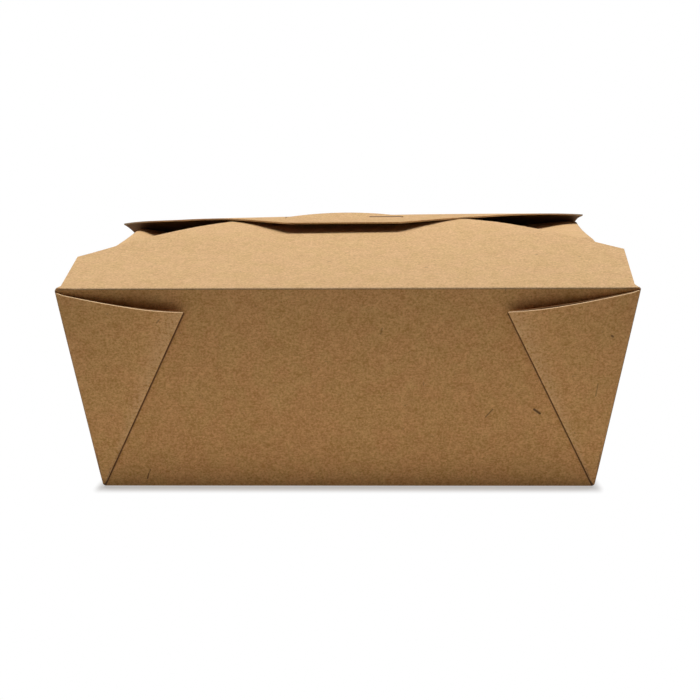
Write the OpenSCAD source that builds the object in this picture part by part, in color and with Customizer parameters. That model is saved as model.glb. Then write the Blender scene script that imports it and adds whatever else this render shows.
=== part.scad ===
// Takeaway box folded from one sheet of brown kraft board: a tapered tray with webbed corners
// laid flat on its two long walls, and four flaps that close over the top.
// Millimetres. The origin is the middle of the base, on the table. The long walls face -Y and +Y.

/* [Tray] */
// Width of the base, along X
base_w = 152; // [140:1:170]
// Depth of the base, along Y
base_d = 120; // [110:1:135]
// Height of the walls above the table
wall_h = 63; // [58:1:70]
// How far each wall leans out from base to rim
flare = 10.8; // [8:0.1:13]
// Thickness of the board
board = 0.5; // [0.45:0.05:0.55]

/* [Corner webs] */
// Length of a web's fold, from the bottom corner up to its tip
web_fold = 63.4; // [56:0.1:64]
// How far the top edge of a web on the left starts below the rim
left_drop = 1.5; // [0.5:0.1:2]
// How far the top edge of a web on the right starts below the rim
right_drop = 0.9; // [0.5:0.1:2]
// How far the tip of a web on the right lies further in than one on the left
right_tip_in = 0.7; // [0:0.1:1]
// How far a web's top edge sags below a straight cut
web_sag = 0.5; // [0:0.05:1]
// How far the top edge of a web stands off its wall
web_bow = 3; // [0:0.1:4]

/* [Front flap] */
// Slope of the front flap beside its crease, in degrees above level
front_slope = 14.6; // [13:0.1:14.6]
// How much steeper it is at its right corner than at its middle, in degrees
front_twist = 1.9; // [0:0.1:2]
// How far its middle sags under the tip of the top flap
front_dish = 0.8; // [0:0.1:1]
// Length from the crease to the flap's widest corners
front_shoulder = 33.5; // [28:0.5:36]
// Half the width at those corners
front_half = 87.3; // [80:0.1:87.3]
// Half the width of the flap's top edge
front_edge_half = 41; // [30:1:45]
// Place of the sagging part along X
dish_x = 3.5; // [-5:0.5:5]

/* [Top flap] */
// Distance from the crease to the flap's widest corners, measured level
top_shoulder = 31; // [28:0.5:34]
// Half the width at those corners
top_half = 86.3; // [80:0.1:86.4]
// Distance from the crease to the tip, measured level
top_reach = 88; // [82:0.5:90]
// Half the width of the tip
top_tip_half = 18.8; // [15:0.1:24]
// How far the middle stands above a level line between the rims
top_height = 17.4; // [17.2:0.1:19]

/* [Lock] */
// Half the width of the rounded tongue on the front flap
tongue_half = 20; // [14:0.5:21]
// Length of the tongue's straight sides
tongue_root = 4.2; // [2:0.1:5]
// Length of the tongue past the flap's top edge
tongue_len = 8.6; // [6:0.2:9]
// Slope of the tongue, in degrees above level
tongue_slope = 15.8; // [13:0.1:16]
// Place of the tongue along X
lock_x = -2.2; // [-3:0.1:3]
// Free space round the tongue in its slot
slot_gap = 0.6; // [0.5:0.1:1]

/* [End flaps] */
// Rise of the left end flap from its crease at the front corner, in degrees
left_pitch = 43; // [35:0.5:50]
// Rise of the right end flap from its crease at the front corner, in degrees
right_pitch = 54; // [45:0.5:60]
// How much steeper the left end flap is at the back corner, in degrees
left_gain = 36; // [0:1:40]
// How much steeper the right end flap is at the back corner, in degrees
right_gain = 43; // [0:1:45]
// Height of the left end flap's level part above the rim
left_level = 10.6; // [8:0.1:11]
// Height of the right end flap's level part above the rim
right_level = 12.9; // [11:0.1:13]
// How much higher the left end flap's level part is at its back than at its front
left_rise = 4; // [0:0.2:4]
// How much higher the right end flap's level part is at its back than at its front
right_rise = 2.2; // [0:0.2:4]
// How far the left end flap sinks again from its ridge to its inner end
left_sink = 3.2; // [0:0.2:4]
// How far the right end flap sinks again from its ridge to its inner end
right_sink = 1.2; // [0:0.2:4]
// Length of an end flap, measured level
end_reach = 46; // [40:1:50]

/* [Hidden] */
kraft = [0.78, 0.62, 0.43];
pale_kraft = [0.84, 0.69, 0.5];
rim_w = base_w + 2 * flare;
rim_d = base_d + 2 * flare;
slant = norm([flare, wall_h]);
wall_across = board * slant / wall_h;
// The creases lie on the mid plane of the board
crease_x = rim_w / 2 - board / 2;
crease_y = rim_d / 2 - board / 2;
crease_z = wall_h - board / 2;
// Each flap is cut in at the two ends of its crease, to clear its neighbours at the corners
cut_in = 1.4;
cut_len = 1.5;
hinge_gap = 0.12;
// Layers that are glued or folded together share this much, so that they are one solid
glue = 0.05;
// Least distance between the mid planes of two flaps that lie on each other
flap_pitch = 0.95;
front_len = 72.4;
// Angle from the crease up to a line across the front flap, beyond front_slope, in degrees
front_bend = [[0, 0], [front_shoulder, 0], [48, 0.5], [61, -0.1], [67, -0.65], [front_len, -1.3]];
// Part of front_twist that is left at a line across the flap
front_ease = [[0, 1], [front_shoulder, 1], [48, 0.6], [front_len, 0.3]];
// How far the flap's widest corners droop, in degrees
front_droop = 0.7;
// Part of front_dish that is reached, along the flap and out from its middle
dish_run = [[0, 0], [front_shoulder, 0], [43, 0.6], [52, 1], [62, 0.8], [front_len, 0]];
dish_side = [[0, 1], [20, 0.97], [31, 0.78], [40, 0.28], [46, 0]];
// Height of the top flap's mid plane above its crease, as parts of top_height
top_rise = [[0, 0], [5, 0.27], [13, 0.615], [top_shoulder, 0.88], [52, 0.977], [70, 1], [top_reach, 0.962]];
// Rise of the top flap towards its right side, for each millimetre of X
top_tilt = [[0, 0], [13, 0.0265], [top_shoulder, 0.017], [52, 0.014], [70, 0.003], [top_reach, 0.003]];
// How far the top flap's middle stands above its two side edges
top_crown = [[0, 0], [top_shoulder, 0.7], [52, 0.5], [70, 0.3], [top_reach, 0]];
// The top flap lies a little askew: this is how far its middle line drifts along X
top_drift = [[0, 1.4], [top_shoulder, 0.1], [top_reach, -2.1]];
top_side = [[0, rim_w / 2 - 2.6], [top_shoulder, top_half], [top_reach, top_tip_half]];
front_drift = [[0, 0], [front_shoulder, 0.35], [front_len, 0]];
front_side = [
    [0, rim_w / 2 - 0.4],
    [cut_len, rim_w / 2 - cut_in],
    [front_shoulder, front_half],
    [front_len, front_edge_half]
];

function unit(v) = v / norm(v);
function mix(a, b, t) = a + (b - a) * t;
function soft_min(a, b, k) = (a + b - sqrt((a - b) * (a - b) + k * k)) / 2;
function span(a, b, n) = [for (i = [0:n]) mix(a, b, i / n)];
function ease(x) =
    let (t = min(1, max(0, x)))
    t * t * (3 - 2 * t);

// Straight lines through [place, value] pairs
function through(knots, x, i = 0) =
    i >= len(knots) - 2 || x < knots[i + 1][0]
        ? mix(knots[i][1], knots[i + 1][1], (x - knots[i][0]) / (knots[i + 1][0] - knots[i][0]))
        : through(knots, x, i + 1);

// A smooth curve through [place, value] pairs
function knot_slope(knots, i) =
    let (a = knots[max(i - 1, 0)], b = knots[min(i + 1, len(knots) - 1)])
    (b[1] - a[1]) / (b[0] - a[0]);
function curve(knots, x, i = 0) =
    i < len(knots) - 2 && x >= knots[i + 1][0] ? curve(knots, x, i + 1) :
    let (
        w = knots[i + 1][0] - knots[i][0],
        t = (x - knots[i][0]) / w,
        rise = knots[i + 1][1] - knots[i][1],
        first = knot_slope(knots, i) * w,
        last = knot_slope(knots, i + 1) * w
    )
    knots[i][1] + first * t + (3 * rise - 2 * first - last) * t * t + (first + last - 2 * rise) * t * t * t;

// A closed slab of board round a grid of points on its mid plane
function grid_normal(g, r, c) =
    unit(cross(
        g[r][min(c + 1, len(g[r]) - 1)] - g[r][max(c - 1, 0)],
        g[min(r + 1, len(g) - 1)][c] - g[max(r - 1, 0)][c]
    ));
function grid_face(g, lift) =
    [for (r = [0:len(g) - 1], c = [0:len(g[0]) - 1]) g[r][c] + grid_normal(g, r, c) * lift];
function split(a, b, c, d) = [[a, b, c], [a, c, d]];
module sheet(g) {
    rows = len(g) - 1;
    cols = len(g[0]) - 1;
    low = len(g) * len(g[0]);
    function at(r, c) = r * (cols + 1) + c;
    skins = [
        for (r = [0:rows - 1], c = [0:cols - 1])
            each concat(
                split(at(r, c), at(r + 1, c), at(r + 1, c + 1), at(r, c + 1)),
                split(low + at(r, c), low + at(r, c + 1), low + at(r + 1, c + 1), low + at(r + 1, c))
            )
    ];
    near_and_far = [
        for (c = [0:cols - 1])
            each concat(
                split(at(0, c), at(0, c + 1), low + at(0, c + 1), low + at(0, c)),
                split(at(rows, c + 1), at(rows, c), low + at(rows, c), low + at(rows, c + 1))
            )
    ];
    sides = [
        for (r = [0:rows - 1])
            each concat(
                split(at(r + 1, 0), at(r, 0), low + at(r, 0), low + at(r + 1, 0)),
                split(at(r, cols), at(r + 1, cols), low + at(r + 1, cols), low + at(r, cols))
            )
    ];
    polyhedron(
        points = concat(grid_face(g, board / 2), grid_face(g, -board / 2)),
        faces = concat(skins, near_and_far, sides),
        convexity = 6
    );
}

// A tapered block, from one rectangle up to a larger one
module taper(low_size, low_z, high_size, high_z) {
    corners = [[-1, -1], [1, -1], [1, 1], [-1, 1]];
    function ring(size, z) = [for (c = corners) [c[0] * size[0] / 2, c[1] * size[1] / 2, z]];
    polyhedron(
        points = concat(ring(low_size, low_z), ring(high_size, high_z)),
        faces = [[0, 1, 2, 3], [7, 6, 5, 4], [0, 4, 5, 1], [1, 5, 6, 2], [2, 6, 7, 3], [3, 7, 4, 0]]
    );
}

// Base and four walls, open at the top
function inside(z) =
    [base_w, base_d] + [2, 2] * (flare * z / wall_h - wall_across);
module tray() {
    above = wall_h + 1;
    difference() {
        taper([base_w, base_d], 0, [rim_w, rim_d], wall_h);
        taper(inside(board), board, inside(above), above);
        back_crease();
    }
}

// Room along the top of the back wall for the top flap to turn in
module back_crease() {
    low = crease_z - board / 2 - hinge_gap;
    half = rim_w / 2 - cut_in + 0.4;
    translate([-half, rim_d / 2 - 2 * board, low])
        cube([2 * half, 2 * board, wall_h + 1 - low]);
}

// One web: two triangles of board between the corner edge and the fold, at the corner +X -Y.
// In the flat sheet a wall's side edge stands at side_angle to its height, and two webs fill
// the rest of the square corner.
side_angle = atan(flare / slant);
web_angle = 45 - side_angle;
function web_point(side, up, across, off) =
    let (
        foot = [base_w / 2, -base_d / 2, 0],
        climb = [0, -flare, wall_h] / slant,
        outward = [0, -wall_h, -flare] / slant,
        corner = [flare, -flare, wall_h] * (1 - (side < 0 ? left_drop : right_drop) / wall_h),
        lean = web_angle - side_angle,
        tip_in = side < 0 ? 0 : right_tip_in,
        tip = web_fold * (cos(lean) * climb - [sin(lean), 0, 0]) - [tip_in, 0, 0],
        sag = web_sag * 4 * across * (1 - across)
    )
    foot + up * (mix(corner, tip, across) - sag * climb) + off * outward;
web_rows = [0.03, 0.2, 0.4, 0.6, 0.8, 0.9, 1];
// Part of web_bow that each layer reaches, from the corner edge to the fold
web_lift = [
    [[0, 0], [0.25, 0.15], [0.5, 0.33], [0.75, 0.52], [1, 0.67]],
    [[0, 0], [0.25, 0.4], [0.5, 0.77], [0.75, 1], [1, 0.67]]
];
function web_grid(side, layer) = [
    for (up = web_rows)
        [for (across = span(0, 1, 8))
            let (bow = web_bow * pow(up, 3) * curve(web_lift[layer], across))
            web_point(side, up, across, (layer + 0.5) * board - (layer + 1) * glue + bow)]
];
module web(side) {
    sheet(web_grid(side, 0));
    sheet(web_grid(side, 1));
}

// A point of the front flap or of its tongue, which goes on past front_len
function front_point(x, along) =
    let (
        s = min(along, front_len),
        a = front_slope + curve(front_bend, s) + front_twist * through(front_ease, s) * x / front_half
            - front_droop * pow(x / front_half, 4),
        more = along - s,
        dish = front_dish * curve(dish_run, s) * curve(dish_side, min(abs(x - dish_x), 46)),
        rise = s * sin(a) + more * sin(tongue_slope) - dish
    )
    [x, s * cos(a) + more * cos(tongue_slope) - crease_y, crease_z + rise];

// The round end of the tongue is a half-moon
tongue_round = tongue_len - tongue_root;
moon_rows = [0, 0.15, 0.32, 0.5, 0.67, 0.81, 0.91, 0.97, 1];
function moon_half(half, height, at) =
    let (radius = (half * half + height * height) / (2 * height), up = radius - height + at)
    sqrt(max(radius * radius - up * up, 0.02));

// The front flap and the tongue are one sheet: its outline steps in where the tongue starts
module front_flap() {
    flap_rows = [0, cut_len, 12, 22, front_shoulder, 41, 48, 55, 61, 67, front_len];
    flap = [
        for (s = flap_rows)
            let (half = through(front_side, s), mid = through(front_drift, s))
            [for (x = span(mid - half, mid + half, 12)) front_point(x, s)]
    ];
    tongue = [
        for (s = concat([0.01, tongue_root / 2], [for (t = moon_rows) tongue_root + t * tongue_round]))
            let (half = s < tongue_root ? tongue_half : moon_half(tongue_half, tongue_round, s - tongue_root))
            [for (x = span(lock_x - half, lock_x + half, 12)) front_point(x, front_len + s)]
    ];
    sheet(concat(flap, tongue));
}

function top_point(x, reach) =
    let (
        half = through(top_side, reach),
        off = (x - through(top_drift, reach)) / half,
        crown = curve(top_crown, reach) * (1 - off * off),
        rise = top_height * curve(top_rise, reach) + crown
    )
    [x, crease_y - reach, crease_z + rise + x * curve(top_tilt, reach)];
module top_flap() {
    rows = [top_reach, 82, 76, 70, 64, 58, 52, 44, 37, top_shoulder, 26, 21, 17, 13, 9, 5, 2, 0];
    sheet([
        for (v = rows)
            let (half = through(top_side, v), mid = through(top_drift, v))
            [for (x = span(mid - half, mid + half, 12)) top_point(x, v)]
    ]);
}

// The slot that the tongue stands in has the tongue's outline, with free space round it
module slot() {
    half = tongue_half + slot_gap;
    root = tongue_root * cos(tongue_slope);
    height = tongue_round * cos(tongue_slope) + slot_gap;
    round_side = [for (t = moon_rows) [moon_half(half, height, t * height), root + t * height]];
    mirrored = [for (i = [len(round_side) - 1:-1:0]) [-round_side[i][0], round_side[i][1]]];
    translate([lock_x, 0, wall_h])
        linear_extrude(top_height * 2)
            polygon(concat([[-half, -slot_gap], [half, -slot_gap]], round_side, mirrored));
}

// Where the slanted edges of the two long flaps cross a line at x, measured from their creases
function edge_at(x, shoulder, half, last, last_half) =
    min(last, shoulder + (half - abs(x)) * (last - shoulder) / (half - last_half));

// Height that is free under a flap, and beyond its edge
function room(z, past) = z - crease_z - flap_pitch + 0.8 * max(0, past);

// An end flap rises from its crease, levels off, and stays under both long flaps
function end_point(side, u, y) =
    let (
        x = side * (crease_x - u),
        back = (y + crease_y) / (2 * crease_y),
        gain = pow(back, 1.8) * (side < 0 ? left_gain : right_gain),
        pitch = min(86, gain + (side < 0 ? left_pitch : right_pitch)),
        ridge = side < 0 ? left_level + left_rise * (back - 0.5) : right_level + right_rise * (back - 0.5),
        level = ridge - (side < 0 ? left_sink : right_sink) * ease((u - 6) / 16),
        along = (y + crease_y) / cos(front_slope),
        reach = crease_y - y,
        front_edge = edge_at(x, front_shoulder, front_half, front_len, front_edge_half),
        top_edge = edge_at(x, top_shoulder, top_half, top_reach, top_tip_half),
        front = room(front_point(x, min(along, front_edge))[2], along - front_edge),
        top = room(top_point(x, min(reach, top_edge))[2], reach - top_edge),
        own = soft_min(tan(pitch) * u, level, 1.2)
    )
    [x, y, crease_z + max(0, soft_min(own, soft_min(front, top, 0.6), 0.6))];
end_steps = [0, 0.6, 1.3, 2.2, 3.2, 4.4, 5.8, 7.4, 9.4, 12, 16, 22, 30, 38, end_reach];
module end_flap(side) {
    steps = len(end_steps) - 1;
    reach = [for (i = [0:steps]) end_steps[side < 0 ? i : steps - i]];
    function edge(u) = crease_y - 2.5 - u;
    sheet([
        for (t = span(-1, 1, 22))
            [for (u = reach) end_point(side, u, t * edge(u))]
    ]);
}

module carton() {
    color(kraft) {
        tray();
        for (side = [-1, 1], y = [0, 1])
            mirror([side < 0 ? 1 : 0, 0, 0])
                mirror([0, y, 0])
                    web(side);
        end_flap(-1);
        end_flap(1);
        front_flap();
    }
}

module lid_flap() {
    color(pale_kraft)
        difference() {
            top_flap();
            slot();
        }
}

carton();
lid_flap();
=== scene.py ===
# %% Start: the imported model
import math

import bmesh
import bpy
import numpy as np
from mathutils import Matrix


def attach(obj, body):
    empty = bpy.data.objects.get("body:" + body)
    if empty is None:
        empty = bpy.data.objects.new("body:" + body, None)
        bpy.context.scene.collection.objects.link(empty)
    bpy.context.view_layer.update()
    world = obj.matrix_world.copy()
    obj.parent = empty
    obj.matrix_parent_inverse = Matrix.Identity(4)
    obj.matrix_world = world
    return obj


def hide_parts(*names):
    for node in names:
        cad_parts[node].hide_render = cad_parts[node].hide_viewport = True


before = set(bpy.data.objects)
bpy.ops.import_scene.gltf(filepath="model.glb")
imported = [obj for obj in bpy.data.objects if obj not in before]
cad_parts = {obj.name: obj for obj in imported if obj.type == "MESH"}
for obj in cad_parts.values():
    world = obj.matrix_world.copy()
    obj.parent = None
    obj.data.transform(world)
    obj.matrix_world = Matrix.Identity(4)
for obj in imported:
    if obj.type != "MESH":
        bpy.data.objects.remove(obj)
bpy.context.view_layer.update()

# %% [markdown]
# # A takeaway box folded from brown kraft board
# The box is one sheet of board, half a millimetre thick. It is folded into a tray whose corners are
# webs, and it is closed with four flaps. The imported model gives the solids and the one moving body,
# the top flap. This script dresses them: it rebuilds the same folded sheet with finer curves,
# rounded folds and pale cut edges, and gives it the look of unbleached paper fibre.
#
# Blender counts in metres, but a maker thinks of a box in millimetres. So the measures below are in
# millimetres, and they are multiplied by MM once, where a mesh or a material is made.

MM = 0.001

# %% [markdown]
# ## The camera
# The camera comes first. It stands low in front of the box and looks down by about eight degrees, so
# the front wall shows almost flat and the flaps are seen at a glancing angle. It is turned by a
# degree and rolled by a fraction of one, as a hand-set camera is. A shifted lens could frame the box
# as well, but a turned camera keeps the same lens in every view.

# %% Camera
camera_data = bpy.data.cameras.new("front_view")
camera_data.sensor_width = 36.0
camera_data.lens = 68.53
camera_data.clip_start = 0.01
camera = bpy.data.objects.new("front_view", camera_data)
turn, pitch, roll = math.radians(1.07), math.radians(90 - 8.17), math.radians(-0.22)
camera.location = (0.00833, -0.46372, 0.10077)
camera.rotation_euler = (Matrix.Rotation(turn, 3, "Z") @ Matrix.Rotation(pitch, 3, "X")
                         @ Matrix.Rotation(roll, 3, "Z")).to_euler()
bpy.context.scene.collection.objects.link(camera)
bpy.context.scene.camera = camera
print("camera at", [round(v, 4) for v in camera.location])

# %% [markdown]
# ## The measures of the box
# These are the same named values as in the part's source, because the dressed sheet has to lie where
# the solids are. The long walls face -Y and +Y, the end walls -X and +X, and the box stands at Z = 0.
# A crease is the line that a flap turns about, in the middle of the board's thickness.

# %% Measures
BASE_W, BASE_D, WALL_H, FLARE, BOARD = 152.0, 120.0, 63.0, 10.8, 0.5
RIM_W, RIM_D = BASE_W + 2 * FLARE, BASE_D + 2 * FLARE
SLANT = math.hypot(FLARE, WALL_H)
CREASE_X, CREASE_Y, CREASE_Z = RIM_W / 2 - BOARD / 2, RIM_D / 2 - BOARD / 2, WALL_H - BOARD / 2
FRONT_LEN, FRONT_SHOULDER, FRONT_HALF, FRONT_EDGE_HALF = 72.4, 33.5, 87.3, 41.0
TOP_SHOULDER, TOP_HALF, TOP_REACH, TOP_TIP_HALF, TOP_HEIGHT = 31.0, 86.3, 88.0, 18.8, 17.4
TONGUE_HALF, TONGUE_ROOT, TONGUE_LEN, TONGUE_SLOPE = 20.0, 4.2, 8.6, 15.8
LOCK_X, SLOT_GAP = -2.2, 0.6
END_REACH = 46.0
print("rim", RIM_W, "x", RIM_D, "mm, creases at", CREASE_X, CREASE_Y, CREASE_Z)

# %% [markdown]
# ## Lines for cut edges and for bent board
# Two kinds of line run through these measures: straight ones, for outlines that were cut, and
# smooth ones, for board that bends. Both are read from short lists of places and values, which are
# easier to tune against a photo than handles on a curve. A fold is a third kind: a short arc from
# one panel over the corner to the next.


# %% Lines through places and values
def straight(knots, x):
    return np.interp(x, [k[0] for k in knots], [k[1] for k in knots])


def smooth(knots, x):
    """A cubic through the knots, whose slope at each knot is that between its neighbours."""
    xs, ys = np.array([k[0] for k in knots], float), np.array([k[1] for k in knots], float)
    slopes = np.array([(ys[min(i + 1, len(xs) - 1)] - ys[max(i - 1, 0)])
                       / (xs[min(i + 1, len(xs) - 1)] - xs[max(i - 1, 0)]) for i in range(len(xs))])
    i = np.clip(np.searchsorted(xs, x, side="right") - 1, 0, len(xs) - 2)
    w = xs[i + 1] - xs[i]
    t = (x - xs[i]) / w
    rise, first, last = ys[i + 1] - ys[i], slopes[i] * w, slopes[i + 1] * w
    return ys[i] + first * t + (3 * rise - 2 * first - last) * t**2 + (first + last - 2 * rise) * t**3


def bend(start, corner, end, n=5):
    """Rows of points along a rounded fold, from one panel over the corner line to the next."""
    t = np.linspace(0, 1, n + 2)[:, None, None]
    return (1 - t) ** 2 * start + 2 * t * (1 - t) * corner + t**2 * end


print("between 0, 1 and 1, a smooth line is at", round(float(smooth([(0, 0), (1, 1), (2, 1)], 0.5)), 3))

# %% [markdown]
# ## A clean mesh
# A closed slab has to have each corner once and every face looking outward. The faces are shaded
# smooth, except across edges sharper than 35 degrees, so that a bend looks round and a cut edge crisp.

# %% Weld, turn outward, shade
OUTSIDE, CUT, INSIDE = 0, 1, 2
WELD = 1e-6
SHARP = math.radians(35)


def clean(piece):
    work = bmesh.new()
    work.from_mesh(piece.data)
    bmesh.ops.remove_doubles(work, verts=work.verts, dist=WELD)
    bmesh.ops.dissolve_degenerate(work, edges=work.edges, dist=WELD)
    bmesh.ops.recalc_face_normals(work, faces=work.faces)
    for face in work.faces:
        face.smooth = True
    work.to_mesh(piece.data)
    work.free()
    piece.data.set_sharp_from_angle(angle=SHARP)
    print(piece.name, len(piece.data.vertices), "points", len(piece.data.polygons), "faces")


print("finishes of a slab: outside", OUTSIDE, "cut edge", CUT, "inside", INSIDE)

# %% [markdown]
# ## A sheet of board
# Board is a thin slab with an outside, an inside and cut edges. A modifier could give a plain
# surface its thickness, but here each slab is made at once from a grid of points on its middle
# plane, so that the three can have materials of their own: the inside is coated and painted darker,
# which is also a painted shade in the gaps between layers and under the flaps, and a cut edge is
# paler. Each point also keeps how near it is to a fold, for rubbed wear and a painted highlight,
# and how deep it lies in the nook of one, for a painted shade.


# %% Make a slab from a grid of points
def unit_rows(v):
    return v / np.maximum(np.linalg.norm(v, axis=-1, keepdims=True), 1e-9)


def make_board(name, grid, ring=False, wear_and_highlight=0.0, shade=0.0, cut=(CUT, CUT, CUT, CUT)):
    """A slab about a grid. cut is the finish of its first and last row, then of its end columns."""
    grid = np.asarray(grid, float)
    rows, cols = grid.shape[:2]
    if ring:
        across = np.roll(grid, -1, axis=1) - np.roll(grid, 1, axis=1)
    else:
        across = np.gradient(grid, axis=1)
    lift = unit_rows(np.cross(across, np.gradient(grid, axis=0))) * BOARD / 2
    points = np.concatenate([(grid + lift).reshape(-1, 3), (grid - lift).reshape(-1, 3)]) * MM
    under = rows * cols
    faces, finishes = [], []

    def close_edge(a, b, finish):
        faces.append((a, under + a, under + b, b))
        finishes.append(finish)

    steps = cols if ring else cols - 1
    for r in range(rows - 1):
        for c in range(steps):
            a, b = r * cols + c, r * cols + (c + 1) % cols
            faces.append((a, b, b + cols, a + cols))
            faces.append((under + a, under + a + cols, under + b + cols, under + b))
            finishes += [OUTSIDE, INSIDE]
    first, last = [np.broadcast_to(edge, cols).tolist() for edge in cut[:2]]
    top_row = under - cols
    for c in range(steps):
        close_edge(c, (c + 1) % cols, first[c])
    for c in range(steps):
        close_edge(top_row + (c + 1) % cols, top_row + c, last[c])
    if not ring:
        for a in range(0, top_row, cols):
            close_edge(a + cols, a, cut[2])
        for a in range(cols - 1, under - 1, cols):
            close_edge(a, a + cols, cut[3])
    mesh = bpy.data.meshes.new(name)
    mesh.from_pydata(points.tolist(), [], faces)
    mesh.polygons.foreach_set("material_index", finishes)
    for title, values in (("fold_wear_and_highlight", wear_and_highlight), ("painted_fold_shade", shade)):
        values = np.broadcast_to(values, (rows, cols)).ravel()
        kept = mesh.attributes.new(title, "FLOAT", "POINT")
        kept.data.foreach_set("value", np.concatenate([values, values]).astype(np.float32))
    piece = bpy.data.objects.new(name, mesh)
    bpy.context.scene.collection.objects.link(piece)
    clean(piece)
    return piece


print("boards are", BOARD, "mm thick")

# %% [markdown]
# ## The webs
# In the flat sheet a square of board joins two walls at each corner. When the walls stand up, that
# square folds in half along its diagonal and is laid flat on the long wall: that is the web. It has
# an inner layer on the wall, a rounded fold, and an outer layer, which goes on round the corner into
# the end wall. The layers touch at the foot and stand off the wall a little at the top, because the
# fold springs open. A cloth simulation could find that shape, but two short lists of lifts give it
# at once and are the same each time.

# %% A place on a web
WEB_FOLD, WEB_SAG, WEB_BOW = 63.4, 0.5, 3.0
FACE_OUT = np.array([0, -WALL_H, -FLARE]) / SLANT
END_OUT = np.array([WALL_H, 0, -FLARE]) / SLANT
CLIMB = np.array([0, -FLARE, WALL_H]) / SLANT
ALONG_X = np.array([1.0, 0, 0])
FOOT = np.array([BASE_W / 2, -BASE_D / 2, 0])
LEAN = math.radians(45) - 2 * math.atan(FLARE / SLANT)
FOOT_CLOSED = 0.08
EDGE_POWER = 8


class Web:
    """A web at the corner +X -Y: drop is how far its top edge starts below the rim."""

    def __init__(self, drop, tip_in, sink):
        self.drop = drop
        self.corner = np.array([FLARE, -FLARE, WALL_H]) * (1 - drop / WALL_H)
        self.tip = WEB_FOLD * (math.cos(LEAN) * CLIMB - math.sin(LEAN) * ALONG_X) - tip_in * ALONG_X
        self.along = (self.tip - self.corner) / np.linalg.norm(self.tip - self.corner)
        self.sink = sink

    def place(self, up, across, off, shift=np.zeros(3), raised=0.0):
        """up: 0 at the table, 1 at the rim. across: 0 at the corner, 1 at the fold. off: from the wall."""
        sag = WEB_SAG * 4 * across * (1 - across) - raised * self.drop * up**EDGE_POWER
        near_foot = min(1.0, up / FOOT_CLOSED)
        lift = -BOARD / 2 + (off + BOARD / 2) * near_foot
        return (FOOT + up * (self.corner + (self.tip - self.corner) * across - sag * CLIMB)
                + lift * FACE_OUT + shift * near_foot)


left_web, right_web = Web(1.5, 0.0, 0.45), Web(0.9, 0.7, 0.1)
print("web tips", (FOOT + left_web.tip).round(2), (FOOT + right_web.tip).round(2), "mm")

# %% [markdown]
# ## The line through a web
# A line drawn round the box at one height runs along the long wall to the corner, back over the
# inner layer of the web to its fold, out again over the outer layer, round the corner and along the
# end wall. This cell makes the part of it that lies in a web: three small turns and two layers.

# %% From the front wall through a web to the end wall
INNER_OFF, OUTER_OFF, CORNER_R = 0.28, 0.82, 0.6
INNER_ACROSS = (0.03, 0.1, 0.2, 0.3, 0.42, 0.55, 0.7, 0.85, 0.95)
OUTER_ACROSS = (0.95, 0.85, 0.75, 0.65, 0.55, 0.46, 0.38, 0.3, 0.23, 0.17, 0.11, 0.06)
START_TURN, FOLD_TURN, CORNER_TURN = 6, 7, 6
inner_lift = [(0, 0), (0.25, 0.15), (0.5, 0.33), (0.75, 0.52), (1, 0.67)]
outer_lift = [(0, 0), (0.25, 0.4), (0.5, 0.77), (0.75, 1), (1, 0.67)]


def bow(up, across, lift):
    """How far a layer of the web stands off the wall: most near its top edge."""
    return WEB_BOW * up**3 * float(smooth(lift, across))


def turned(angle):
    return math.sin(math.radians(angle)), math.cos(math.radians(angle))


def corner_line(up, web):
    """The line through one web, from the end of the front wall to the start of the end wall."""
    points = []
    r = (INNER_OFF + BOARD / 2) / 2
    for a in np.linspace(0, 180, START_TURN)[:-1]:
        s, c = turned(a)
        points.append(web.place(up, 0, INNER_OFF - r - r * c, (r * s - r) * ALONG_X, raised=1 - a / 180))
    for across in INNER_ACROSS:
        sunk = -web.sink * up**EDGE_POWER * math.sin(math.pi * across) * CLIMB
        points.append(web.place(up, across, INNER_OFF + bow(up, across, inner_lift), sunk))
    r = (OUTER_OFF - INNER_OFF) / 2
    for a in np.linspace(0, 180, FOLD_TURN):
        s, c = turned(a)
        points.append(web.place(up, 1, INNER_OFF + bow(up, 1, inner_lift) + r - r * c,
                                (r * s - r - BOARD / 2) * web.along))
    for across in OUTER_ACROSS:
        points.append(web.place(up, across, OUTER_OFF + bow(up, across, outer_lift)))
    for a in np.linspace(0, 90, CORNER_TURN):
        s, c = turned(a)
        points.append(web.place(up, 0, OUTER_OFF - CORNER_R + CORNER_R * c,
                                (CORNER_R * s - CORNER_R - BOARD / 2) * ALONG_X))
    return np.array(points)


WEB_N = len(corner_line(1.0, right_web))
FOLD_AT = START_TURN - 1 + len(INNER_ACROSS) + FOLD_TURN // 2
print("points in a web's line:", WEB_N, "with its fold at", FOLD_AT)

# %% [markdown]
# ## The whole line round the box
# The box has four webs, so the line is put together from the front wall, a web, an end wall and a
# web that runs the other way, and then the same again. The back half is the front half mirrored.
# Each wall stops about a millimetre short of its corners, to leave room for the turn into the web. A
# second helper lays out values in the same order, so that a fold can be marked as worn and given a
# painted highlight, and a crease given a painted shade.

# %% The line round the box
FRONT_N, END_N = 36, 28
FRONT_SHORT, END_SHORT = 1.2, 0.9
FOLD_REACH = 0.3
WALL_TOP = 1 - FOLD_REACH / SLANT


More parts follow.
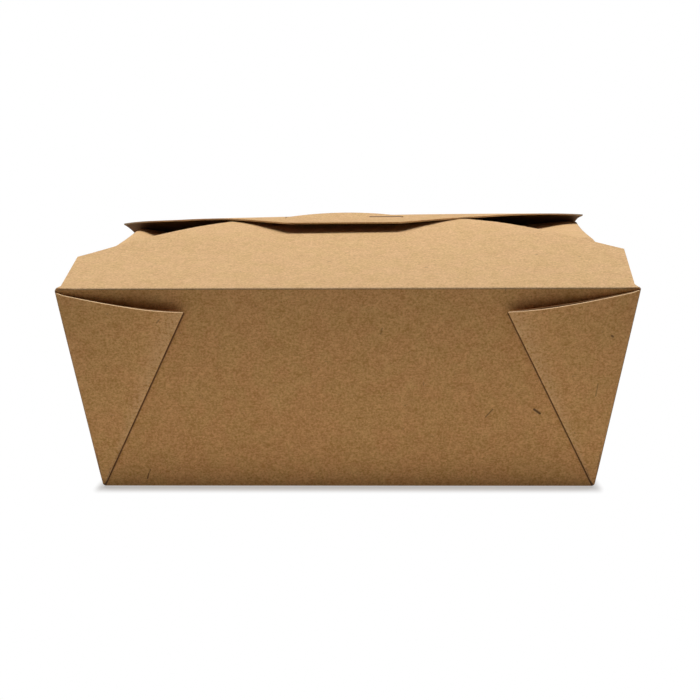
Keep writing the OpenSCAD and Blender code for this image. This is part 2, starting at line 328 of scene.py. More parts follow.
def ring_row(up):
    """One line round the whole box. up is 0 at the table and 1 at the rim."""
    wall_up = min(up, WALL_TOP)
    half_x, half_y, z = BASE_W / 2 + FLARE * wall_up, BASE_D / 2 + FLARE * wall_up, WALL_H * wall_up
    wall_x = np.linspace(-1, 1, FRONT_N + 2)[1:-1] * (half_x - FRONT_SHORT)
    front = np.stack([wall_x, np.full_like(wall_x, -half_y), np.full_like(wall_x, z)], axis=1)
    front = front - FACE_OUT * BOARD / 2
    end_y = np.linspace(-1, 1, END_N + 2)[1:-1] * (half_y - END_SHORT)
    end = np.stack([np.full_like(end_y, half_x), end_y, np.full_like(end_y, z)], axis=1)
    end = end - END_OUT * BOARD / 2
    flip_x, flip_y = np.array([-1, 1, 1]), np.array([1, -1, 1])
    right_front = corner_line(up, right_web)
    right_back = right_front[::-1] * flip_y
    left_back = corner_line(up, left_web) * flip_x * flip_y
    left_front = left_back[::-1] * flip_y
    back = front * flip_x * flip_y
    left = end * flip_x * flip_y
    return np.concatenate([front, right_front, end, right_back, back, left_back, left, left_front])


def on_ring(front, web, end):
    """Values for one row, from those of a long wall, of one web's line and of an end wall."""
    front, web, end = np.full(FRONT_N, front), np.broadcast_to(web, WEB_N), np.full(END_N, end)
    half = [front, web, end, web[::-1]]
    return np.concatenate(half + half)


print("points round the box:", len(ring_row(1.0)), len(on_ring(0, 0, 0)))

# %% [markdown]
# ## The tray
# The walls, the webs and the bend into the base are one slab, made of such lines carried up in rows.
# The rows are closer near the foot and near the rim, where the layers bend most. The inner layer's
# cut edge lies hidden behind the outer one, so it takes the darker finish of the inside, as a
# painted shade in the gap between the layers. The base is a slab of its own, because a ring has no
# middle.

# %% Rows of the tray
ROUND_FOOT, FOOT_INSET = 0.9, 0.21
ups = [ROUND_FOOT / SLANT, 0.03, 0.055, 0.08, 0.12, 0.17, 0.23, 0.3, 0.37, 0.44, 0.51, 0.58, 0.65, 0.71,
       0.77, 0.82, 0.87, 0.91, 0.945, 0.97, 0.985, 0.9915, 0.9945, 1.0]
tray_rows = [ring_row(u) for u in ups]
foot_line = ring_row(0.0)
foot_line[:, 2] = BOARD / 2
limit = np.array([BASE_W / 2 - FOOT_INSET, BASE_D / 2 - FOOT_INSET])
foot_line[:, :2] = np.clip(foot_line[:, :2], -limit, limit)
base_half = limit - ROUND_FOOT
inner_line = foot_line.copy()
inner_line[:, :2] = np.clip(foot_line[:, :2], -base_half, base_half)
rounded = bend(inner_line, foot_line, tray_rows[0])[:-1]
tray_grid = np.stack(list(rounded) + tray_rows)
print("rows of the tray:", len(rounded), "in the bend and", len(tray_rows), "above it")

# %% Wear and painted highlight, painted shade and edges of the tray, and its base
# The web folds and the round at the foot are made paler: rubbed wear, and a painted highlight where the
# round meets the light.
fold_columns = np.zeros(WEB_N)
fold_columns[FOLD_AT:FOLD_AT + 6] = (0.5, 1.0, 1.0, 1.0, 0.8, 0.3)
tray_wear_and_highlight = np.tile(on_ring(0.0, fold_columns, 0.0), (len(tray_grid), 1))
tray_wear_and_highlight[2:len(rounded)] = 0.5
# The top two rows of the walls, just under the rim's crease, get a painted shade line.
tray_painted_shade = np.zeros(tray_grid.shape[:2])
tray_painted_shade[-2:] = on_ring(1.0, 0.0, 1.0)
# The inner layer's top edge takes the darker inside finish, as a painted shade in the gap between the
# layers.
web_edge = np.full(WEB_N, CUT)
web_edge[:FOLD_AT] = INSIDE
walls = make_board("walls_and_webs", tray_grid, ring=True, wear_and_highlight=tray_wear_and_highlight, shade=tray_painted_shade,
                   cut=(OUTSIDE, on_ring(CUT, web_edge, CUT), CUT, CUT))
base_grid = [[(x, y, BOARD / 2) for x in np.linspace(-base_half[0], base_half[0], 40)]
             for y in np.linspace(-base_half[1], base_half[1], 32)]
base_panel = make_board("base_panel", base_grid, cut=(OUTSIDE, OUTSIDE, OUTSIDE, OUTSIDE))

# %% [markdown]
# ## The front flap and its tongue
# The front flap was scored along the rim and laid over, so its fold is a small round, and a fold
# in kraft board shows as a paler, rubbed line; here that line is partly rubbed wear and partly a
# painted highlight on the round, with a painted shade line just under it. The flap's outline was
# cut straight, and its ends are cut in by a little at the fold. It isn't flat: it is twisted by a
# degree or two, its corners droop, and its edge dips in the middle under the top flap. One function
# gives a point of it from two distances on the sheet, and the tongue, which is part of the same
# sheet, goes on past its edge.

# %% A place on the front flap
FRONT_SLOPE, FRONT_TWIST, FRONT_DROOP, FRONT_DISH, DISH_X = 14.6, 1.9, 0.7, 0.8, 3.5
front_bend = [(0, 0), (FRONT_SHOULDER, 0), (48, 0.5), (61, -0.1), (67, -0.65), (FRONT_LEN, -1.3)]
front_ease = [(0, 1), (FRONT_SHOULDER, 1), (48, 0.6), (FRONT_LEN, 0.3)]
front_side = [(0, RIM_W / 2 - 0.4), (1.5, RIM_W / 2 - 1.4), (FRONT_SHOULDER, FRONT_HALF),
              (FRONT_LEN, FRONT_EDGE_HALF)]
front_drift = [(0, 0), (FRONT_SHOULDER, 0.35), (FRONT_LEN, 0)]
dish_run = [(0, 0), (FRONT_SHOULDER, 0), (43, 0.6), (52, 1), (62, 0.8), (FRONT_LEN, 0)]
dish_side = [(0, 1), (20, 0.97), (31, 0.78), (40, 0.28), (46, 0)]


def front_point(x, along):
    """x across the box, along up the flap from its crease, and on into the tongue."""
    x, along = np.broadcast_arrays(np.asarray(x, float), np.asarray(along, float))
    s = np.minimum(along, FRONT_LEN)
    twist = FRONT_TWIST * straight(front_ease, s) * x / FRONT_HALF
    a = np.radians(FRONT_SLOPE + smooth(front_bend, s) + twist - FRONT_DROOP * (x / FRONT_HALF) ** 4)
    more, t = along - s, math.radians(TONGUE_SLOPE)
    beside = np.minimum(np.abs(x - DISH_X), dish_side[-1][0])
    dish = FRONT_DISH * smooth(dish_run, s) * smooth(dish_side, beside)
    return np.stack([x, s * np.cos(a) + more * math.cos(t) - CREASE_Y,
                     CREASE_Z + s * np.sin(a) + more * math.sin(t) - dish], axis=-1)


print("middle of the front flap's edge:", front_point(0, FRONT_LEN).round(1), "mm")

# %% Rows of the front flap
front_x = np.linspace(-1, 1, 81)
front_steps = np.concatenate([np.linspace(FOLD_REACH, 6, 8), np.linspace(7.5, FRONT_SHOULDER, 14),
                              np.linspace(FRONT_SHOULDER + 2, FRONT_LEN, 20)])
front_rows = [front_point(straight(front_drift, s) + straight(front_side, s) * front_x, s)
              for s in front_steps]
wall_start = front_rows[0].copy()
wall_start[:, 0] = front_x * (RIM_W / 2 - FRONT_SHORT)
wall_start[:, 1:] = np.array([-CREASE_Y, CREASE_Z]) + FOLD_REACH * np.array([FLARE, -WALL_H]) / SLANT
fold_line = front_point(front_x * (RIM_W / 2 - END_SHORT), 0)
fold_rows = list(bend(wall_start, fold_line, front_rows[0], 6)[:-1])
print("rows of the front flap:", len(fold_rows), "in its fold and", len(front_rows), "above it")

# %% [markdown]
# The tongue has straight sides at its root and ends in a half-moon. Its rows get closer to each
# other towards the tip, where the half-moon's outline turns fastest.

# %% The tongue, and the flap as one board
TONGUE_ROUND = TONGUE_LEN - TONGUE_ROOT
ROOT_ROWS = [0.01, 0.8, 1.6, 2.4]
moon_rows = np.array([0, 0.08, 0.17, 0.28, 0.4, 0.52, 0.64, 0.75, 0.84, 0.91, 0.96, 0.985, 1])


def half_moon(half, height, at):
    """Half the width of a circle's cap, at some height above its straight side."""
    radius = (half * half + height * height) / (2 * height)
    return math.sqrt(max(radius**2 - (radius - height + at) ** 2, 0.02))


tongue_rows = []
for s in ROOT_ROWS + list(TONGUE_ROOT + moon_rows * TONGUE_ROUND):
    half = TONGUE_HALF if s < TONGUE_ROOT else half_moon(TONGUE_HALF, TONGUE_ROUND, s - TONGUE_ROOT)
    tongue_rows.append(front_point(LOCK_X + half * front_x, FRONT_LEN + s))
front_grid = np.stack(fold_rows + front_rows + tongue_rows)
# The rows of the front flap's fold are made paler: rubbed wear and a painted highlight on the round.
front_wear_and_highlight = np.zeros(front_grid.shape[:2])
front_wear_and_highlight[2:8] = np.array([0.3, 0.8, 1.0, 1.0, 0.7, 0.3])[:, None]
# The first rows of the front flap's fold, on the wall's side, get a painted shade line.
front_painted_shade = np.zeros(front_grid.shape[:2])
front_painted_shade[:2] = 1.0
front_flap = make_board("front_flap", front_grid, wear_and_highlight=front_wear_and_highlight, shade=front_painted_shade,
                        cut=(OUTSIDE, CUT, CUT, CUT))

# %% [markdown]
# ## The top flap
# The back flap comes over the top. It rises steeply from the back rim, bends over and lies on the
# front flap, with the rounded tongue standing in its slot. It is the one flap that opens by
# itself, so it rides on its own body. The back wall ends a third of a millimetre short of the
# crease and the flap starts on the hinge line, so the fold looks closed at every angle and neither
# cuts into the other.

# %% Top flap
top_rise = [(0, 0), (5, 0.27), (13, 0.615), (TOP_SHOULDER, 0.88), (52, 0.977), (70, 1), (TOP_REACH, 0.962)]
top_tilt = [(0, 0), (13, 0.0265), (TOP_SHOULDER, 0.017), (52, 0.014), (70, 0.003), (TOP_REACH, 0.003)]
top_crown = [(0, 0), (TOP_SHOULDER, 0.7), (52, 0.5), (70, 0.3), (TOP_REACH, 0)]
top_drift = [(0, 1.4), (TOP_SHOULDER, 0.1), (TOP_REACH, -2.1)]
top_side = [(0, RIM_W / 2 - 2.6), (TOP_SHOULDER, TOP_HALF), (TOP_REACH, TOP_TIP_HALF)]


def top_point(x, reach):
    """x across the box, reach forward from the crease at the back."""
    x, reach = np.broadcast_arrays(np.asarray(x, float), np.asarray(reach, float))
    off = (x - straight(top_drift, reach)) / straight(top_side, reach)
    z = (CREASE_Z + TOP_HEIGHT * smooth(top_rise, reach) + x * smooth(top_tilt, reach)
         + smooth(top_crown, reach) * (1 - off**2))
    return np.stack([x, CREASE_Y - reach, z], axis=-1)


reaches = list(np.linspace(TOP_REACH, TOP_SHOULDER, 34)) + list(np.linspace(TOP_SHOULDER, 0, 30))[1:]
top_x = np.linspace(-1, 1, 91)
top_rows = [top_point(straight(top_drift, v) + straight(top_side, v) * top_x, v) for v in reaches]
# The rows at the top flap's hinge are made paler: rubbed wear and a painted highlight.
top_wear_and_highlight = np.zeros((len(top_rows), len(top_x)))
top_wear_and_highlight[-3:] = np.array([0.4, 0.8, 1.0])[:, None]
top_flap = make_board("top_flap", np.stack(top_rows), wear_and_highlight=top_wear_and_highlight, cut=(CUT, OUTSIDE, CUT, CUT))

# %% [markdown]
# ## The end flaps
# The two end flaps go in first. Each stands up from its crease, levels off, and is held down by
# the long flaps at its ends, so between them it bulges. Their ridge is what shows beside the front
# flap. The same rule as in the source gives the height: the lowest of the flap's own shape and
# the room under the two long flaps, with the corners between them softened.

# %% A place on an end flap
LEFT, RIGHT = -1, 1
end_pitch = {LEFT: (43.0, 36.0), RIGHT: (54.0, 43.0)}
end_level = {LEFT: (10.6, 4.0), RIGHT: (12.9, 2.2)}
end_droop = {LEFT: 3.2, RIGHT: 1.2}
DROOP_FROM, DROOP_RUN = 6.0, 16.0
FLAP_PITCH, ROOM_OPENS = 0.95, 0.8
SOFT_RIDGE, SOFT_PRESS = 1.2, 0.6


def soft_min(a, b, k):
    return (a + b - np.sqrt((a - b) ** 2 + k * k)) / 2


def edge_at(x, shoulder, half, last, last_half):
    """How far a long flap reaches from its crease at x: its slanted end, then its edge."""
    return np.minimum(last, shoulder + (half - np.abs(x)) * (last - shoulder) / (half - last_half))


def end_point(side, u, y):
    """u inward from the end flap's crease."""
    x = side * (CREASE_X - u)
    back = (y + CREASE_Y) / (2 * CREASE_Y)
    first, gain = end_pitch[side]
    pitch = np.radians(np.minimum(86, first + gain * back**1.8))
    level = end_level[side][0] + end_level[side][1] * (back - 0.5)
    share = np.clip((u - DROOP_FROM) / DROOP_RUN, 0, 1)
    level = level - end_droop[side] * share**2 * (3 - 2 * share)
    along, reach = (y + CREASE_Y) / math.cos(math.radians(FRONT_SLOPE)), CREASE_Y - y
    front_edge = edge_at(x, FRONT_SHOULDER, FRONT_HALF, FRONT_LEN, FRONT_EDGE_HALF)
    top_edge = edge_at(x, TOP_SHOULDER, TOP_HALF, TOP_REACH, TOP_TIP_HALF)
    front = (front_point(x, np.minimum(along, front_edge))[..., 2] - CREASE_Z - FLAP_PITCH
             + ROOM_OPENS * np.maximum(0, along - front_edge))
    top = (top_point(x, np.minimum(reach, top_edge))[..., 2] - CREASE_Z - FLAP_PITCH
           + ROOM_OPENS * np.maximum(0, reach - top_edge))
    own = soft_min(np.tan(pitch) * u, level, SOFT_RIDGE)
    z = CREASE_Z + np.maximum(0, soft_min(own, soft_min(front, top, SOFT_PRESS), SOFT_PRESS))
    return np.stack(np.broadcast_arrays(x, y, z), axis=-1)


for side in (LEFT, RIGHT):
    print("ridge of an end flap, mm:", end_point(side, np.array(DROOP_FROM), np.array(0.0)).round(1))

# %% Both end flaps
END_INSET = 2.5
end_steps = np.concatenate([np.linspace(0, 3, 13), np.linspace(3.3, 10, 20),
                            np.linspace(10.8, END_REACH, 30)])
end_across = np.linspace(-1, 1, 91)


def end_flap(name, side):
    grid = np.stack([end_point(side, u, end_across * (CREASE_Y - END_INSET - u)) for u in end_steps])
    if side == LEFT:
        grid = grid[:, ::-1]
    # The rows at the end flap's crease are made paler: rubbed wear and a painted highlight.
    wear_and_highlight = np.zeros(grid.shape[:2])
    wear_and_highlight[:3] = np.array([1.0, 0.8, 0.4])[:, None]
    return make_board(name, grid, wear_and_highlight=wear_and_highlight, cut=(OUTSIDE, CUT, CUT, CUT))


left_flap = end_flap("left_end_flap", LEFT)
right_flap = end_flap("right_end_flap", RIGHT)

# %% [markdown]
# ## Writing shaders as sums
# A finish is worked out from noise, masks and colours. To keep that readable, a small class wraps
# a socket, so that an expression such as 1 - mask adds the Math node by itself. Any other node
# comes from one method, which takes the node's type, its settings and what its sockets get. The
# methods after it only save writing for the nodes that are used most.


# %% Sockets with operators
class Value:
    """A socket of a node tree, with which one can reckon."""

    def __init__(self, tree, socket):
        self.tree, self.socket = tree, socket

    def math(self, kind, *others, clamp=False):
        sockets = dict(enumerate((self, *others)))
        return Nodes(self.tree).node("ShaderNodeMath", {"operation": kind, "use_clamp": clamp}, sockets)

    def __add__(self, other):
        return self.math("ADD", other)

    def __mul__(self, other):
        return self.math("MULTIPLY", other)

    def __sub__(self, other):
        return self.math("SUBTRACT", other)

    def __rsub__(self, other):
        return self * -1.0 + other

    def __truediv__(self, other):
        return self.math("DIVIDE", other)

    __radd__ = __add__
    __rmul__ = __mul__

    def limit(self):
        return self.math("ADD", 0.0, clamp=True)

    def smooth_step(self, low, high):
        return Nodes(self.tree).node("ShaderNodeMapRange", {"interpolation_type": "SMOOTHSTEP"},
                                     {"Value": self, "From Min": low, "From Max": high})


class Nodes:
    """A node tree, and the one method that adds a node to it."""

    def __init__(self, tree):
        self.tree = tree

    def node(self, kind, settings=None, sockets=None, out=0):
        node = self.tree.nodes.new(kind)
        for key, value in (settings or {}).items():
            setattr(node, key, value)
        for key, value in (sockets or {}).items():
            if isinstance(value, Value):
                self.tree.links.new(value.socket, node.inputs[key])
            else:
                node.inputs[key].default_value = value
        return Value(self.tree, node.outputs[out])

    def noise(self, place, scale, detail, **more):
        sockets = {"Vector": place, "Scale": scale, "Detail": detail, **more}
        return self.node("ShaderNodeTexNoise", {}, sockets)

    def vector(self, kind, *values, out=0):
        return self.node("ShaderNodeVectorMath", {"operation": kind}, dict(enumerate(values)), out)

    def part(self, vector, axis):
        return self.node("ShaderNodeSeparateXYZ", {}, {0: vector}, axis)

    def mix(self, share, first, second, blend="MIX"):
        return self.node("ShaderNodeMix", {"data_type": "RGBA", "blend_type": blend},
                         {0: share, 6: first, 7: second}, 2)

    def show(self, shader, output="ShaderNodeOutputMaterial"):
        self.tree.links.new(shader.socket, self.tree.nodes.new(output).inputs["Surface"])


def new_material(name):
    material = bpy.data.materials.new(name)
    material.use_nodes = True
    material.node_tree.nodes.clear()
    return material, Nodes(material.node_tree)


print("shader helpers ready")

# %% [markdown]
# ## Colours
# Paint is mixed on a screen, so colours are written as a screen shows them, from 0 to 255.
# Shaders reckon with light instead, so each is turned into linear numbers first. Grain makes the
# board lighter and darker without changing its hue. Its step is therefore sized so that red,
# green and blue change by the same amount on the screen.


# %% Colours
def paint(red, green, blue):
    """A colour as the screen shows it, 0 to 255, as the numbers that a shader takes."""
    def channel(v):
        v /= 255
        return v / 12.92 if v <= 0.04045 else ((v + 0.055) / 1.055) ** 2.4
    return (channel(red), channel(green), channel(blue), 1.0)


def even_step(colour, size):
    """What to add to a linear colour to move its red, green and blue by equal steps on screen."""
    return tuple(size * c**0.583 for c in colour[:3]) + (1.0,)


# The third colour is a painted shade for creases and nooks; the first two are bark and fibre marks of the
# board itself.
BARK, FIBRE_END, PAINTED_SHADE = paint(70, 42, 20), paint(86, 58, 30), paint(62, 34, 12)
print("bark as a shader takes it:", [round(c, 4) for c in BARK])

# %% [markdown]
# ## Fibres and clouds
# Unbleached board is made of brown wood fibres pressed flat. Close up it has soft cloudy patches
# that lean a little to red or to olive, and a fine grain of pale and dark fibre ends that lie
# mostly one way. All of it is noise in the object's own space, so it is the same from every side
# and needs no picture. The numbers after a place are the noise's cells in a metre and its detail.

# %% Fibre colour
GRAIN_CONTRAST = 4.5


def fibre_colour(f, place, base, red, olive, grain_size):
    """The board's colour, and the two noises that also make its bump."""
    cloud = f.noise(place, 150.0, 2.0, Roughness=0.5)
    patch = f.noise(place, 260.0, 2.0, Distortion=0.6)
    grain = f.noise(place, 1500.0, 3.0, Roughness=0.7)
    laid = f.node("ShaderNodeMapping", {}, {"Vector": place, "Scale": (1.0, 2.2, 2.6),
                                            "Rotation": (0.0, 0.5, 0.3)})
    fibre = f.noise(laid, 800.0, 2.0, Distortion=1.2)
    colour = f.mix(cloud.smooth_step(0.38, 0.62), paint(*red), paint(*olive))
    step = even_step(paint(*base), grain_size)
    pale = f.mix(1.0, colour, step, "ADD")
    deep = f.mix(1.0, colour, step, "SUBTRACT")
    share = (grain * 0.55 + fibre * 0.33 + patch * 0.12 - 0.5) * GRAIN_CONTRAST + 0.5
    return f.mix(share.limit(), deep, pale), grain, fibre


def with_hairs(f, place, colour):
    """Fine dark fibres: the thin line where a noise crosses its middle, here and there."""
    ridge = f.noise(place, 240.0, 0.0, Distortion=2.0)
    hair = 1 - ((ridge - 0.5).math("ABSOLUTE") * 90).limit()
    rare = f.noise(place, 420.0, 0.0)
    return f.mix(hair * rare.smooth_step(0.66, 0.74) * 0.45, colour, FIBRE_END)


print("grain contrast", GRAIN_CONTRAST)

# %% [markdown]
# ## Splinters and painted shade in nooks
# Now and then a dark splinter of bark is pressed into the board. Where one layer meets another in a
# narrow nook, the board is darkened with a painted shade, which stands in for the shade that falls
# there. Both are short straight marks, so one mask draws them: it is 1 on the line between two
# places and fades to 0 over its width. Splinters are pressed flat, so their mask hardly counts the
# depth. A nook is at the front and at the back alike, so its mask is worked out in a space that is
# folded over in the middle.


# %% Marks along a line
def line_mask(f, place, start, end, width):
    """1 on a straight line between two places in millimetres, 0 beyond its width."""
    start, end = start * MM, end * MM
    run = end - start
    from_start = f.vector("SUBTRACT", place, tuple(start))
    share = f.vector("DOT_PRODUCT", from_start, tuple(run / (run @ run)), out=1).limit()
    nearest = f.node("ShaderNodeVectorMath", {"operation": "SCALE"}, {0: tuple(run), "Scale": share})
    gap = f.vector("DISTANCE", from_start, nearest, out=1)
    return 1 - (gap / (width * MM)).smooth_step(0.35, 1.0)


def with_splinters(f, place, colour, splinters, flat):
    pressed = f.vector("MULTIPLY", place, flat)
    for start, end, width, strength in splinters:
        mask = line_mask(f, pressed, np.array(start) * flat, np.array(end) * flat, width)
        colour = f.mix(mask * strength, colour, BARK)
    return colour


def with_painted_shade(f, place, colour, grain, painted_shade_lines):
    """Painted shade: darker where the slab keeps its crease shade attribute, and along each given line."""
    folded = f.node("ShaderNodeCombineXYZ", {}, {0: f.part(place, 0), 1: f.part(place, 1).math("ABSOLUTE"),
                                                 2: f.part(place, 2)})
    shade = f.node("ShaderNodeAttribute", {"attribute_name": "painted_fold_shade"}, out="Fac") * 0.45
    for start, end, width, strength in painted_shade_lines:
        mask = line_mask(f, folded, start, end, width)
        shade = shade.math("MAXIMUM", mask * strength)
    return f.mix(shade * (0.8 + grain * 0.4), colour, PAINTED_SHADE)


print("marks are drawn in", BARK[:3], "and", PAINTED_SHADE[:3])

# %% [markdown]
# ## The kraft finish
# The board is matt, with a faint sheen from the press. Along a fold the printed face is rubbed, so
# pale fibres come up between the dark ones, and the same paler colour is also a painted highlight
# on the rounded folds. The same function makes the walls, the flaps and the inside: only the
# colours and the marks differ.


# %% Kraft board
def kraft_finish(name, base, red, olive, splinters=(), flat=(1, 1, 1), grain_size=0.15, gloss=0.3,
                 rubbed_and_lit=(226, 192, 146), painted_shade_lines=()):
    material, f = new_material(name)
    place = f.node("ShaderNodeTexCoord", out="Object")
    colour, grain, fibre = fibre_colour(f, place, base, red, olive, grain_size)
    colour = with_hairs(f, place, colour)
    colour = with_splinters(f, place, colour, splinters, flat)
    # Folds take a paler colour: rubbed wear and a painted highlight.
    worn_and_lit = f.node("ShaderNodeAttribute", {"attribute_name": "fold_wear_and_highlight"}, out="Fac")
    colour = f.mix(worn_and_lit * grain.smooth_step(0.3, 0.6) * 0.35, colour, paint(*rubbed_and_lit))
    colour = with_painted_shade(f, place, colour, grain, painted_shade_lines)
    rough = 0.78 + (grain - 0.5) * 0.25 + worn_and_lit * 0.08
    bump = f.node("ShaderNodeBump", {}, {"Strength": 0.35, "Distance": 0.00012,
                                         "Height": grain * 0.5 + fibre * 0.5})
    f.show(f.node("ShaderNodeBsdfPrincipled", {}, {"Base Color": colour, "Roughness": rough, "Normal": bump,
                                                   "Specular IOR Level": gloss}))
    return material


# The inside is coated and painted darker; the darker colour is also a painted shade for the gaps between
# layers and under the flaps.
inside_board_coated_and_shaded = kraft_finish("kraft_inside_coated_and_shaded", base=(158, 114, 70), red=(160, 114, 72), olive=(156, 114, 68),
                            gloss=0.4)
# The top flap is the same board as the front flap, painted a little darker as a painted shade so that it
# doesn't look brighter than the front flap under the lamp.
top_board_painted_shade = kraft_finish("kraft_top_painted_shade", base=(205, 166, 118), red=(206, 166, 119), olive=(204, 166, 116.6),
                         gloss=0.22, rubbed_and_lit=(238, 210, 168))
print("made", inside_board_coated_and_shaded.name, "and", top_board_painted_shade.name)

# %% [markdown]
# ## The cut edge
# A die cuts the board, so its edge shows the paler core fibres without the pressed face. It gets a
# material of its own, rougher and with a finer bump.

# %% Cut edge
cut_board, f = new_material("cut_edge")
place = f.node("ShaderNodeTexCoord", out="Object")
grain = f.noise(place, 2600.0, 2.0)
colour = f.mix(grain.smooth_step(0.3, 0.7), paint(220, 182, 136), paint(242, 211, 168))
bump = f.node("ShaderNodeBump", {}, {"Strength": 0.4, "Distance": 0.0001, "Height": grain})
f.show(f.node("ShaderNodeBsdfPrincipled", {}, {"Base Color": colour, "Roughness": 0.85 + grain * 0.1,
                                               "Normal": bump, "Specular IOR Level": 0.2}))
print("made", cut_board.name)

# %% [markdown]
# ## The walls
# The walls carry the splinters that show most. Each is a start, an end, a width and a strength. The
# wall meets the rounded fold of a web in a narrow nook, and a line of painted shade darkens it from
# the foot of the web up to its tip.

# %% Wall finish
wall_splinters = [
    ((56.8, -64.3, 25.1), (58.6, -64.1, 23.8), 0.5, 0.85),
    ((42.1, -63.9, 22.7), (44.2, -64.3, 25.1), 0.3, 0.6),
    ((78.8, -69.6, 48.4), (79.2, -69.6, 48.1), 0.42, 0.75),
    ((-56.3, -71.6, 52.8), (-55.5, -71.7, 53.7), 0.32, 0.6),
    ((-62.3, -60.4, 2.6), (-61.9, -60.7, 4.1), 0.3, 0.75),
    ((-61.9, -60.7, 4.1), (-61.2, -61.0, 5.6), 0.24, 0.6),
    ((75.0, -66.3, 29.6), (75.5, -66.9, 33.4), 0.26, 0.4),
]
# A line of painted shade runs along each web's fold, where the fold meets the wall.
WEB_SHADE_WIDTH, WEB_SHADE_DARK = 0.62, 0.85
web_painted_shade = []
for web, side in ((left_web, LEFT), (right_web, RIGHT)):
    foot = (FOOT + 0.05 * web.along) * (side, -1, 1)
    web_painted_shade.append((foot, foot + 0.98 * web.tip * (side, -1, 1), WEB_SHADE_WIDTH, WEB_SHADE_DARK))
# The walls are the same board as the flaps, painted deeper and browner as a painted shade, since they face
# away from the lamp.
wall_board_painted_shade = kraft_finish("kraft_walls_painted_shade", base=(205, 153, 93), red=(206.6, 152.6, 93.8),
                          olive=(203.4, 153.4, 92.2), splinters=wall_splinters, flat=(1, 0.15, 1),
                          grain_size=0.19, painted_shade_lines=web_painted_shade)
print("made", wall_board_painted_shade.name, "with", len(wall_splinters), "splinters")

# %% [markdown]
# ## The flaps
# The flaps face the light; the walls are the same board, painted deeper as a painted shade. The flaps have
# only a few faint specks.
# Right of its middle a thin dark line is painted on the tongue where it comes out of the slot: a painted
# shadow of the slot's edge.

# %% Flap finish
flap_splinters = [
    ((59.0, -43.2, 70.2), (59.5, -43.0, 70.2), 0.4, 0.35),
    ((-6.2, -47.4, 69.1), (-5.6, -47.5, 69.1), 0.4, 0.3),
    ((24.0, -53.9, 67.4), (24.6, -53.8, 67.4), 0.4, 0.3),
    ((72.2, -45.2, 69.7), (72.7, -45.4, 69.7), 0.4, 0.3),
    ((-61.7, -49.7, 68.5), (-61.1, -49.6, 68.5), 0.35, 0.3),
]
# A thin line of painted shadow on the tongue, where it comes out of the slot; the print gives its two ends.
SHADOW_ALONG, SHADOW_START, SHADOW_END, SHADOW_WIDTH, SHADOW_DARK = FRONT_LEN + 3.6, 7.0, 17.8, 0.8, 0.8
tongue_painted_shadow = [np.abs(front_point(x, SHADOW_ALONG)) + (0, 0, BOARD / 2) for x in (SHADOW_START, SHADOW_END)]
flap_board = kraft_finish("kraft_flaps", base=(214, 174, 124), red=(215, 174, 125), olive=(213, 174, 122.4),
                          splinters=flap_splinters, flat=(1, 1, 0.15), rubbed_and_lit=(238, 210, 168),
                          painted_shade_lines=[(*tongue_painted_shadow, SHADOW_WIDTH, SHADOW_DARK)])
print("gap beside the tongue:", np.round(tongue_painted_shadow, 1).tolist(), "mm")

# %% [markdown]
# ## Finishes on the pieces
# Each slab takes its three materials in the order in which its faces count them.

# %% Outside, cut edge, inside
outsides = {walls: wall_board_painted_shade, base_panel: wall_board_painted_shade, front_flap: flap_board, top_flap: top_board_painted_shade,
            left_flap: flap_board, right_flap: flap_board}
for piece, outside in outsides.items():
    for finish in (outside, cut_board, inside_board_coated_and_shaded):
        piece.data.materials.append(finish)
print("materials:", [m.name for m in bpy.data.materials])

# %% [markdown]
# ## The slot
# The slot in the top flap has the tongue's own outline with a little play all round. Leaving faces
# out of the grid would give it a stepped edge, so a closed block with that outline is taken out of
# the slab instead. Its faces are marked as cut edge, and the slot's sides get that finish. This
# waits until the slab has its materials, because the block's marks are matched to them.

# %% Cut the slot
CUTTER_HEIGHT = 0.04
play_level = math.cos(math.radians(TONGUE_SLOPE))
slot_half, slot_root = TONGUE_HALF + SLOT_GAP, TONGUE_ROOT * play_level
slot_round = TONGUE_ROUND * play_level + SLOT_GAP
side_line = [(half_moon(slot_half, slot_round, t * slot_round), slot_root + t * slot_round)
             for t in moon_rows]
outline = ([(-slot_half, -SLOT_GAP), (slot_half, -SLOT_GAP)] + side_line
           + [(-x, y) for x, y in reversed(side_line)])
work = bmesh.new()
face = work.faces.new([work.verts.new(((x + LOCK_X) * MM, y * MM, WALL_H * MM)) for x, y in outline])
raised = bmesh.ops.extrude_face_region(work, geom=[face])["geom"]
top_points = [v for v in raised if isinstance(v, bmesh.types.BMVert)]
bmesh.ops.translate(work, vec=(0, 0, CUTTER_HEIGHT), verts=top_points)
bmesh.ops.remove_doubles(work, verts=work.verts, dist=WELD)
bmesh.ops.recalc_face_normals(work, faces=work.faces)
cutter_mesh = bpy.data.meshes.new("slot_cutter")
work.to_mesh(cutter_mesh)
work.free()
for _ in (OUTSIDE, CUT, INSIDE):
    cutter_mesh.materials.append(None)
cutter_mesh.polygons.foreach_set("material_index", [CUT] * len(cutter_mesh.polygons))
cutter = bpy.data.objects.new("slot_cutter", cutter_mesh)
bpy.context.scene.collection.objects.link(cutter)
print("slot cutter:", len(outline), "corners,", round(2 * slot_half, 1), "mm wide")

# %% Take it out of the top flap
taken_out = top_flap.modifiers.new("slot", "BOOLEAN")
taken_out.operation, taken_out.solver, taken_out.object = "DIFFERENCE", "EXACT", cutter
graph = bpy.context.evaluated_depsgraph_get()
slotted = bpy.data.meshes.new_from_object(top_flap.evaluated_get(graph))
top_flap.modifiers.clear()
top_flap.data = slotted
bpy.data.objects.remove(cutter)
slotted.set_sharp_from_angle(angle=SHARP)
print("top flap with its slot:", len(slotted.vertices), "points")

# %% [markdown]
# ## What moves with what
# Everything but the top flap belongs to the carton. Each piece stands for the solid of the packed
# model that it dresses, and that solid is hidden.

